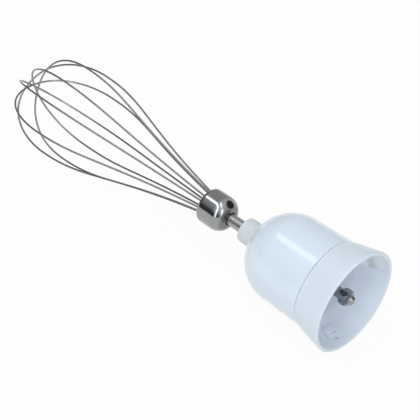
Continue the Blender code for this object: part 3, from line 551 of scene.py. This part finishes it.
def makeCollar():
    c = collar
    inner = c["mouthRadius"] - c["rimWall"]
    floorBack = c["floor"] - c["floorThickness"]
    profile = rounded([
        (c["seamRadius"], c["seam"], c["seamEdge"]),
        (c["mouthRadius"], 0, c["lipRound"]),
        (inner, 0, c["lipRound"]),
        (c["bore"] + c["boreStep"], c["seam"] + c["boreRise"], c["boreFillet"]),
        (c["bore"] - c["boreTaper"], c["floor"], c["floorFillet"]),
        (c["bossHole"], c["floor"], c["bossEdge"]),
        (c["bossHole"], floorBack),
        (c["spigotRadius"] - c["spigotTaper"], floorBack),
        (c["spigotRadius"], c["seam"]),
    ], fineness=4.0)
    piece = finished("collar", spun(profile, c["round"]), collarPlastic)
    angles = (c["catch"]["angle"], c["catch"]["angle"] + 180)
    carve(piece, [catchPad(a) for a in angles] + [roundMark()], "UNION")
    cuts = [tool for a in angles for tool in catchCuts(a)]
    cuts += [keywayCut(c["keyway"]["angle"]), keywayCut(c["keyway"]["angle"] + 180)]
    carve(piece, cuts)
    return settle(piece, "gearbox", "satin_abs", "coupling_collar")


makeCollar()
print("collar is ready")


# Output sleeve

sleeve = {
    "radius": 6.9, "tipRadius": 6.8, "back": -51.47, "end": -72.72, "edge": 1.0,
    "socket": 3.6, "socketEdge": 0.45, "socketEnd": -52.87,
    "discRadius": 13.15, "disc": 3.0, "discEdge": 0.4, "round": 96,
}


def makeSleeve():
    s = sleeve
    profile = rounded([
        (0, s["back"] + s["disc"]),
        (s["discRadius"], s["back"] + s["disc"], s["discEdge"]),
        (s["discRadius"], s["back"], s["discEdge"]),
        (s["radius"], s["back"]),
        (s["tipRadius"], s["end"], s["edge"]),
        (s["socket"], s["end"], s["socketEdge"]),
        (s["socket"], s["socketEnd"]),
        (0, s["socketEnd"]),
    ])
    piece = finished("sleeve", spun(profile, s["round"], closed=False), nosePlastic)
    return settle(piece, "carrier", "natural_pom", "planet_carrier")


makeSleeve()
print("sleeve is ready")


# Whisk: shaft, ferrule, holder and loops

shaft = {"radius": 3.3, "start": -97.42, "end": -53.17, "startEdge": 0.4, "endEdge": 0.5, "round": 64}
ferrule = {
    "radius": 9.8, "top": -83.02, "bottom": -100.22, "wall": 0.9, "shoulder": 7.2, "edge": 2.6,
    "dishRadius": 4.1, "dishDepth": 0.4, "dishRim": 0.2, "dishRimDepth": 0.1, "holeGap": 0.3,
    "mouthTurn": -50, "innerTurn": 70, "innerGap": 0.2,
    "edgeSteps": 12, "shoulderSteps": 24, "sharp": 40, "round": 128,
}
holder = {
    "radius": 8.55, "back": -99.02, "front": -90.22, "hole": 3.6, "backFillet": 1.6, "frontFillet": 1.8,
    "wireHole": 0.85, "wireDepth": 7.9, "wireHoleRound": 20, "round": 96,
}
loops = {
    "angles": (19, 49.5, 88, 124.5, 161), "radius": 0.55, "circle": 6.0, "leave": -101.62, "grip": -91.42,
    "widest": 28.1, "widestStation": -206.72, "crown": -246.67, "crownSteps": (5.5, 1.4, 2.8, 0.0, 8.0),
    "splay": 10.5, "endPull": 1, "gripPull": 4, "leavePull": 3,
    "lowerPull": 64.0, "waistPull": 33.0, "upperPull": 18.0, "crownPull": 20.0,
    "steps": 28, "sides": 4,
}


def makeShaft():
    s = shaft
    profile = rounded([
        (0, s["end"]),
        (s["radius"], s["end"], s["endEdge"]),
        (s["radius"], s["start"], s["startEdge"]),
        (0, s["start"]),
    ])
    piece = finished("shaft", spun(profile, s["round"], closed=False), shaftSteel)
    return settle(piece, "whisk", "steel", "whisk_shaft")


def makeFerrule():
    f = ferrule
    shoulderCentre = (f["radius"] - f["shoulder"], f["top"] - f["shoulder"])
    edgeCentre = (f["radius"] - f["edge"], f["bottom"] + f["edge"])
    lipTurn = math.degrees(math.acos((f["dishRadius"] - shoulderCentre[0]) / f["shoulder"]))
    profile = arcPoints(edgeCentre, f["edge"], f["mouthTurn"], 0, f["edgeSteps"])
    profile += arcPoints(shoulderCentre, f["shoulder"], 0, lipTurn, f["shoulderSteps"])
    lip = profile[-1][1] - f["dishDepth"]
    hole = shaft["radius"] + f["holeGap"]
    profile += [
        (f["dishRadius"] - f["dishRim"], profile[-1][1] - f["dishRimDepth"]),
        (hole, lip),
        (hole, lip - f["wall"]),
    ]
    inner = arcPoints(shoulderCentre, f["shoulder"] - f["wall"], f["innerTurn"], 0, f["edgeSteps"])
    profile += [point for point in inner if point[1] < lip - f["wall"] - f["innerGap"]]
    profile += arcPoints(edgeCentre, f["edge"] - f["wall"], 0, f["mouthTurn"], f["edgeSteps"] // 2)
    piece = finished("ferrule", spun(profile, f["round"]), ferruleSteel, f["sharp"])
    return settle(piece, "whisk", "polished_steel", "ferrule")


def makeHolder():
    h = holder
    profile = rounded([
        (h["hole"], h["back"]),
        (h["radius"], h["back"], h["backFillet"]),
        (h["radius"], h["front"], h["frontFillet"]),
        (h["hole"], h["front"]),
    ])
    piece = finished("holder", spun(profile, h["round"]), gearNylon)
    cuts = []
    for angle in [a + half for half in (0, 180) for a in loops["angles"]]:
        hole = bmesh.new()
        place = standing(angle, loops["circle"], h["back"])
        bmesh.ops.create_cone(
            hole, cap_ends=True, segments=h["wireHoleRound"],
            radius1=h["wireHole"], radius2=h["wireHole"], depth=2 * h["wireDepth"], matrix=place)
        cuts.append(finished("wireHole", hole, gearNylon))
    return settle(carve(piece, cuts), "whisk", "nylon", "wire_holder")


def makeLoop(i):
    w = loops
    turned = placing @ Matrix.Rotation(math.radians(w["angles"][i]), 4, "Z")
    crown = w["crown"] + w["crownSteps"][i]
    splay = math.radians(w["splay"])
    away = (w["lowerPull"] * math.sin(splay), -w["lowerPull"] * math.cos(splay))
    # One half as (radius, station) points with the pulls of their two handles.
    half = [
        ((w["circle"], w["grip"]), (0, w["endPull"]), (0, -w["gripPull"])),
        ((w["circle"], w["leave"]), (0, w["leavePull"]), away),
        ((w["widest"], w["widestStation"]), (0, w["waistPull"]), (0, -w["upperPull"])),
        ((0, crown), (w["crownPull"], 0), (-w["crownPull"], 0)),
    ]
    mirrored = [((-p[0], p[1]), (-b[0], b[1]), (-a[0], a[1])) for p, a, b in reversed(half[:-1])]
    curve = bpy.data.curves.new("wire", "CURVE")
    curve.dimensions = "3D"
    curve.bevel_depth = w["radius"] * 0.001
    curve.bevel_resolution = w["sides"]
    curve.resolution_u = w["steps"]
    curve.use_fill_caps = True
    line = curve.splines.new("BEZIER")
    knots = half + mirrored
    line.bezier_points.add(len(knots) - 1)
    for knot, (point, before, after) in zip(line.bezier_points, knots):
        knot.co = turned @ Vector((point[0], 0, point[1]))
        knot.handle_left = turned @ Vector((point[0] + before[0], 0, point[1] + before[1]))
        knot.handle_right = turned @ Vector((point[0] + after[0], 0, point[1] + after[1]))
    guide = bpy.data.objects.new("wireGuide", curve)
    bpy.context.scene.collection.objects.link(guide)
    bpy.context.view_layer.update()
    mesh = bpy.data.meshes.new_from_object(guide.evaluated_get(bpy.context.evaluated_depsgraph_get()))
    mesh.name = f"wireLoop{i + 1}"
    bpy.data.objects.remove(guide)
    mesh.shade_smooth()
    mesh.materials.clear()
    mesh.materials.append(wireSteel)
    made = bpy.data.objects.new(f"wireLoop{i + 1}", mesh)
    bpy.context.scene.collection.objects.link(made)
    return settle(made, "whisk", "spring_wire", f"wire_loop_{i + 1}")


makeShaft()
makeFerrule()
makeHolder()
for i in range(len(loops["angles"])):
    makeLoop(i)
print("whisk is ready")


# Drive spindle in the mouth

spindle = {
    "tip": -0.5, "ball": 2.6, "neck": 2.2, "radius": 2.72, "front": -4.8, "neckFillet": 0.1, "chamfer": 0.3,
    "shoulder": 3.9, "shoulderFront": -38.27, "shoulderBack": -39.27, "journal": 1.5, "end": -49.97,
    "ballSteps": 20, "round": 64,
    "earAngle": 140, "earMiddle": -5.75, "earLength": 6.0, "earReach": 4.3, "earWidth": 2.6,
    "earCorner": 2.5, "earEdge": 0.3,
    "dentRings": ((2.5, 2.5), (1.6, 1.95)),  # radius and height above the axis
    "dentCentre": -2.95, "dentMiddle": -6.9, "dentWidth": 1.0, "dentSides": 24, "dentRound": 48,
}


def makeSpindle():
    s = spindle
    ball = s["tip"] - s["ball"]
    neckTurn = -math.degrees(math.acos(s["neck"] / s["ball"]))
    profile = [(0, s["tip"])] + arcPoints((0, ball), s["ball"], 90, neckTurn, s["ballSteps"])[1:]
    profile += rounded([
        profile[-1],
        (s["neck"], s["front"], s["neckFillet"]),
        (s["radius"], s["front"], s["chamfer"]),
        (s["radius"], s["shoulderFront"]),
        (s["shoulder"], s["shoulderFront"]),
        (s["shoulder"], s["shoulderBack"]),
        (s["journal"], s["shoulderBack"]),
        (s["journal"], s["end"]),
        (0, s["end"]),
    ])[1:]
    piece = finished("spindle", spun(profile, s["round"], closed=False), spindleSteel)
    ears = block((2 * s["earReach"], s["earWidth"], s["earLength"]), Matrix.Identity(4))
    corners = [e for e in ears.edges if abs(e.verts[0].co.y - e.verts[1].co.y) > s["earWidth"] / 2]
    bevelled(ears, corners, s["earCorner"], 8)
    sides = [e for e in ears.edges
             if abs(e.verts[0].co.y - e.verts[1].co.y) < 0.1 and e.calc_face_angle(0) > 1]
    bevelled(ears, sides, s["earEdge"], 2)
    bmesh.ops.transform(ears, matrix=standing(s["earAngle"], 0, s["earMiddle"]), verts=ears.verts)
    carve(piece, [finished("ears", ears, spindleSteel)], "UNION")
    dents = []
    lastTurn = 360 - 360 / s["dentSides"]
    across = Matrix.Translation((0, s["dentCentre"], 0)) @ Matrix.Rotation(math.pi / 2, 4, "Y")
    for half in (90, 270):
        for radius, height in s["dentRings"]:
            ring = arcPoints((radius, 0), s["dentWidth"] / 2, 0, lastTurn, s["dentSides"] - 1)
            dent = spun(ring, s["dentRound"])
            place = standing(s["earAngle"] + half, height, s["dentMiddle"]) @ across
            bmesh.ops.transform(dent, matrix=place, verts=dent.verts)
            # The dent cutters' nearly black steel paints shade into the dents.
            dents.append(finished("dent", dent, dentPaintedShadeSteel))
    carve(piece, dents)
    return settle(piece, "drive", "turned_steel", "drive_spindle")


makeSpindle()
print("spindle is ready")


# Inner pieces keep their solids and get their finishes

innerFinishes = {
    "ring_gear": gearNylon, "gear_cover": gearNylon, "spindle_bush": bushBronze, "spindle_seal": sealRubber,
    "output_bush": gearNylon, "thrust_washer": shaftSteel, "sun_pinion": spindleSteel,
    "spindle_clip": shaftSteel, "socket_spring": shaftSteel,
}
for number in (1, 2, 3):
    innerFinishes[f"cover_screw_{number}"] = shaftSteel
    innerFinishes[f"planet_pin_{number}"] = shaftSteel
    innerFinishes[f"planet_gear_{number}"] = gearNylon
for nodeName, material in innerFinishes.items():
    node = frame["nodes"][nodeName]
    for materialSlot in node.material_slots:
        materialSlot.material = material
print("inner pieces are dressed")


# Floor, light and camera

studio = {
    "floorSize": 3.0, "floorColour": (0.82, 0.82, 0.82), "floorRoughness": 0.8, "floorWhite": 0.94,
    "skyLevel": 0.64,
    # The room that gloss sees. A start is where a tone begins along its direction, and a fade is
    # how fast the tone changes from there.
    "cameraSide": (-0.26, -0.97, 0.0), "roomDark": 0.05, "roomGrey": 0.52,
    "sideStart": 0.25, "sideFade": 3.0, "topStart": 0.3, "topFade": 2.5,
    "driveEnd": -0.42, "driveFade": 3.0, "whiskEnd": -0.57, "whiskFade": 4.0, "endChange": 0.7,
    "flagSide": (0.46, 0.74, 0.49), "flagStart": 0.87, "flagFade": 30.0,
    "aim": (0.02, 0, 0.02),
    "lamps": (
        # name, place, turn round the vertical, size across and along, watts
        ("keySoftbox", (-0.32, -0.33, 1.10), -23, (0.95, 0.26), 2.4),
        ("stripSoftbox", (0.31, -0.85, 0.42), 0, (0.22, 0.8), 1.5),
        ("bendSoftbox", (0.20, -0.62, 0.90), 0, (0.24, 0.34), 0.7),
        ("topSoftbox", (0.25, -0.10, 1.20), 0, (0.2, 0.9), 1.3),
        ("sideSoftbox", (0.95, -0.35, 0.55), 0, (0.3, 0.8), 1.6),
    ),
}
viewpoint = {
    "place": (0.3690, -0.3890, 0.4368), "azimuth": 41.45, "elevation": 38.37, "roll": 5.12,
    "sensor": 36.0, "lens": 108.6, "nearest": 0.01,
}


def makeFloor():
    bm = bmesh.new()
    bmesh.ops.create_grid(bm, x_segments=1, y_segments=1, size=studio["floorSize"])
    mesh = bpy.data.meshes.new("floor")
    bm.to_mesh(mesh)
    bm.free()
    finish = Finish("floorWhite")
    finish.feed(Base_Color=(*studio["floorColour"], 1), Roughness=studio["floorRoughness"])
    path = finish.node("ShaderNodeLightPath", {}, {}, "Is Camera Ray")
    glossy = Value(finish, path.socket.node.outputs["Is Glossy Ray"])
    through = Value(finish, path.socket.node.outputs["Is Transmission Ray"])
    glow = finish.node("ShaderNodeEmission", {}, {"Color": (1, 1, 1, 1), "Strength": 1.0})
    white = (path + glossy + through).clamped() * studio["floorWhite"]
    mixed = finish.node("ShaderNodeMixShader", {}, {"Fac": white})
    mixNode = mixed.socket.node
    finish.tree.links.new(finish.shader.outputs[0], mixNode.inputs[1])
    finish.tree.links.new(glow.socket, mixNode.inputs[2])
    finish.tree.links.new(mixed.socket, finish.tree.nodes["Material Output"].inputs["Surface"])
    mesh.materials.append(finish.material)
    floor = bpy.data.objects.new("floor", mesh)
    bpy.context.scene.collection.objects.link(floor)


def makeSky():
    s = studio
    world = bpy.data.worlds.new("studioSky")
    world.use_nodes = True
    bpy.context.scene.world = world
    sky = Finish("sky", world.node_tree)
    path = sky.node("ShaderNodeLightPath", {}, {}, "Is Camera Ray")
    through = Value(sky, path.socket.node.outputs["Is Transmission Ray"])
    glossy = Value(sky, path.socket.node.outputs["Is Glossy Ray"])
    # Gloss sees a grey room with a dark side behind the camera and one small dark flag.
    ray = sky.node("ShaderNodeTexCoord", {}, {}, "Generated")
    height = sky.along(ray, (0, 0, 1))
    low = 1 - ((height - s["topStart"]) * s["topFade"]).clamped()
    dark = ((sky.along(ray, s["cameraSide"]) - s["sideStart"]) * s["sideFade"]).clamped() * low
    flag = ((sky.along(ray, s["flagSide"]) - s["flagStart"]) * s["flagFade"]).clamped()
    # The room is paler towards the drive end and darker towards the whisk's end.
    end = sky.along(ray, (1, 0, 0))
    paler = ((end - s["driveEnd"]) * s["driveFade"]).clamped()
    darker = ((s["whiskEnd"] - end) * s["whiskFade"]).clamped()
    grey = ((paler - darker) * s["endChange"] + 1) * (s["roomGrey"] - s["roomDark"])
    mirrored = (1 - dark) * (1 - flag) * grey + s["roomDark"]
    seen = (path + through).clamped()
    plain = 1 - (seen + glossy).clamped()
    background = world.node_tree.nodes["Background"]
    level = seen + plain * s["skyLevel"] + glossy * mirrored
    world.node_tree.links.new(level.socket, background.inputs["Strength"])
    background.inputs["Color"].default_value = (1, 1, 1, 1)


def makeLamps():
    target = Vector(studio["aim"])
    for name, place, turn, (across, along), watts in studio["lamps"]:
        lamp = bpy.data.lights.new(name, "AREA")
        lamp.shape = "RECTANGLE"
        lamp.size = across
        lamp.size_y = along
        lamp.energy = watts
        made = bpy.data.objects.new(name, lamp)
        made.location = place
        # A lamp with a turn faces straight down, with its long side turned round the vertical.
        facing = (target - Vector(place)).to_track_quat("-Z", "Y").to_euler()
        made.rotation_euler = (0, 0, math.radians(turn)) if turn else facing
        bpy.context.scene.collection.objects.link(made)


def makeCamera():
    v = viewpoint
    camera = bpy.data.cameras.new("camera")
    camera.sensor_width = v["sensor"]
    camera.lens = v["lens"]
    camera.clip_start = v["nearest"]
    made = bpy.data.objects.new("camera", camera)
    made.location = v["place"]
    turned = (
        Matrix.Rotation(math.radians(v["azimuth"]), 4, "Z")
        @ Matrix.Rotation(math.radians(90 - v["elevation"]), 4, "X")
        @ Matrix.Rotation(math.radians(v["roll"]), 4, "Z")
    )
    made.rotation_euler = turned.to_euler()
    bpy.context.scene.collection.objects.link(made)
    bpy.context.scene.camera = made


makeFloor()
makeSky()
makeLamps()
makeCamera()
bpy.context.scene.view_settings.view_transform = "Standard"
print("studio is ready")
